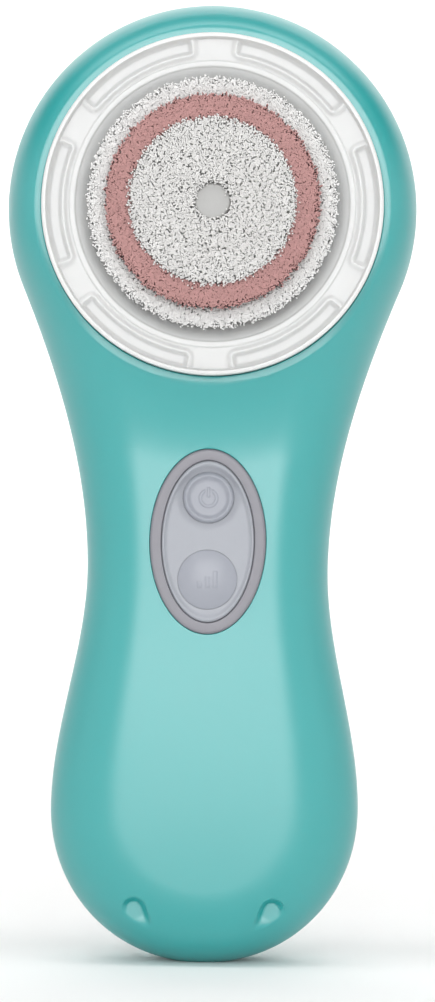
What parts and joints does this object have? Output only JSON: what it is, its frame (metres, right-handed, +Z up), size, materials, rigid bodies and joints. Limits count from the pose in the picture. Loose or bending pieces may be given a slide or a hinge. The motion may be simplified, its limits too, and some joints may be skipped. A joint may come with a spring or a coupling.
{
  "type": "facial cleansing brush",
  "caption": "Handheld oscillating facial cleansing brush with a waisted grip, an oval keypad and a round brush head that pulls off the front.",
  "frame": {"origin": "middle of the small flat at the lower end of the handle, where it stands", "axes": "+Z up along the handle towards the brush head, -Y the way the brush faces, +X to the viewer's right"},
  "size_m": [0.0642, 0.0406, 0.1501],
  "materials": {
    "shell": "satin moulded teal plastic",
    "bezel": "satin grey plastic",
    "pad": "soft light grey elastomer",
    "button": "soft light grey elastomer with a slight sheen",
    "frost_white": "slightly translucent white plastic",
    "pin_grey": "light grey plastic",
    "white_filament": "tufts of fine white nylon filament",
    "rose_filament": "tufts of fine rose nylon filament",
    "seal_rubber": "black moulded rubber",
    "inner_plastic": "dark glass-filled plastic",
    "drive_plastic": "black acetal",
    "natural_nylon": "unpigmented nylon",
    "black_plastic": "black moulded plastic",
    "board": "green solder mask on glass laminate",
    "lamp": "clear lamp lens",
    "screw_steel": "zinc-plated steel",
    "shaft_steel": "ground steel",
    "spring_steel": "blue-grey spring steel strip",
    "lamination": "stacked electrical steel",
    "magnet": "nickel-plated magnet",
    "tab_nickel": "nickel strip",
    "bush_bronze": "sintered bronze",
    "coil_copper": "enamelled copper wire",
    "ferrite": "dark ferrite ceramic",
    "battery_wrap": "blue shrink wrap, unprinted",
    "foam": "grey closed-cell foam",
    "wire_red": "red insulated wire",
    "wire_black": "black insulated wire"
  },
  "bodies": {
    "housing": {"front_shell": "shell", "rear_shell": "shell", "housing_seal": "seal_rubber", "keypad_bezel": "bezel", "keypad_pad": "pad", "circuit_board": "board", "power_switch": "black_plastic", "speed_switch": "black_plastic", "control_chip": "black_plastic", "charge_lamp": "lamp", "battery_connector": "natural_nylon", "motor_connector": "natural_nylon", "board_screw_1": "screw_steel", "board_screw_2": "screw_steel", "inner_frame": "inner_plastic", "frame_screw_1": "screw_steel", "frame_screw_2": "screw_steel", "battery_cell": "battery_wrap", "battery_tab_upper": "tab_nickel", "battery_tab_lower": "tab_nickel", "battery_foam": "foam", "charging_coil": "coil_copper", "ferrite_disc": "ferrite", "charge_magnet_left": "magnet", "charge_magnet_right": "magnet", "motor_front_plate": "inner_plastic", "motor_rear_plate": "inner_plastic", "motor_screw_1": "screw_steel", "motor_screw_2": "screw_steel", "motor_screw_3": "screw_steel", "motor_screw_4": "screw_steel", "front_bush": "bush_bronze", "rear_bush": "bush_bronze", "drive_seal": "seal_rubber", "stator_core": "lamination", "coil_bobbin": "natural_nylon", "motor_coil": "coil_copper", "leaf_spring_left": "spring_steel", "leaf_spring_right": "spring_steel", "spring_clamp": "inner_plastic", "battery_lead_plus": "wire_red", "battery_lead_minus": "wire_black", "motor_lead_1": "wire_red", "motor_lead_2": "wire_black"},
    "drive": {"spindle": "shaft_steel", "drive_hub": "drive_plastic", "armature": "lamination", "rotor_magnet_left": "magnet", "rotor_magnet_right": "magnet"},
    "brush_head": {"brush_ring": "frost_white", "brush_back_plate": "frost_white", "outer_bristles": "white_filament"},
    "brush_core_unit": {"brush_core": "frost_white", "centre_pin": "pin_grey", "colour_bristles": "rose_filament", "white_bristles": "white_filament"},
    "power_button_unit": {"power_button": "button"},
    "speed_button_unit": {"speed_button": "button"},
    "power_plunger_unit": {"power_switch_plunger": "natural_nylon"},
    "speed_plunger_unit": {"speed_switch_plunger": "natural_nylon"}
  },
  "joints": [
    {"name": "drive_swing", "type": "hinge", "parent": "housing", "child": "drive", "pos_m": [0, 0, 0.118], "axis": [0, 1, 0], "range_deg": [-9, 9], "stiffness_Nm_per_rad": 0.3, "deforming": ["leaf_spring_left", "leaf_spring_right"]},
    {"name": "brush_pull", "type": "slide", "parent": "housing", "child": "brush_head", "axis": [0, -1, 0], "range_m": [0, 0.028]},
    {"name": "core_swing", "type": "hinge", "parent": "brush_head", "child": "brush_core_unit", "pos_m": [0, 0, 0.118], "axis": [0, 1, 0], "range_deg": [-9, 9]},
    {"name": "power_press", "type": "slide", "parent": "housing", "child": "power_button_unit", "axis": [0, 1, 0], "range_m": [0, 0.0006], "stiffness_N_per_m": 300},
    {"name": "speed_press", "type": "slide", "parent": "housing", "child": "speed_button_unit", "axis": [0, 1, 0], "range_m": [0, 0.0006], "stiffness_N_per_m": 300},
    {"name": "power_plunger_travel", "type": "slide", "parent": "housing", "child": "power_plunger_unit", "axis": [0, 1, 0], "range_m": [0, 0.00036]},
    {"name": "speed_plunger_travel", "type": "slide", "parent": "housing", "child": "speed_plunger_unit", "axis": [0, 1, 0], "range_m": [0, 0.00036]}
  ],
  "couplings": [
    {"joint": "core_swing", "follows": "drive_swing", "ratio": 1},
    {"joint": "power_plunger_travel", "follows": "power_press", "ratio": 0.6},
    {"joint": "speed_plunger_travel", "follows": "speed_press", "ratio": 0.6}
  ]
}
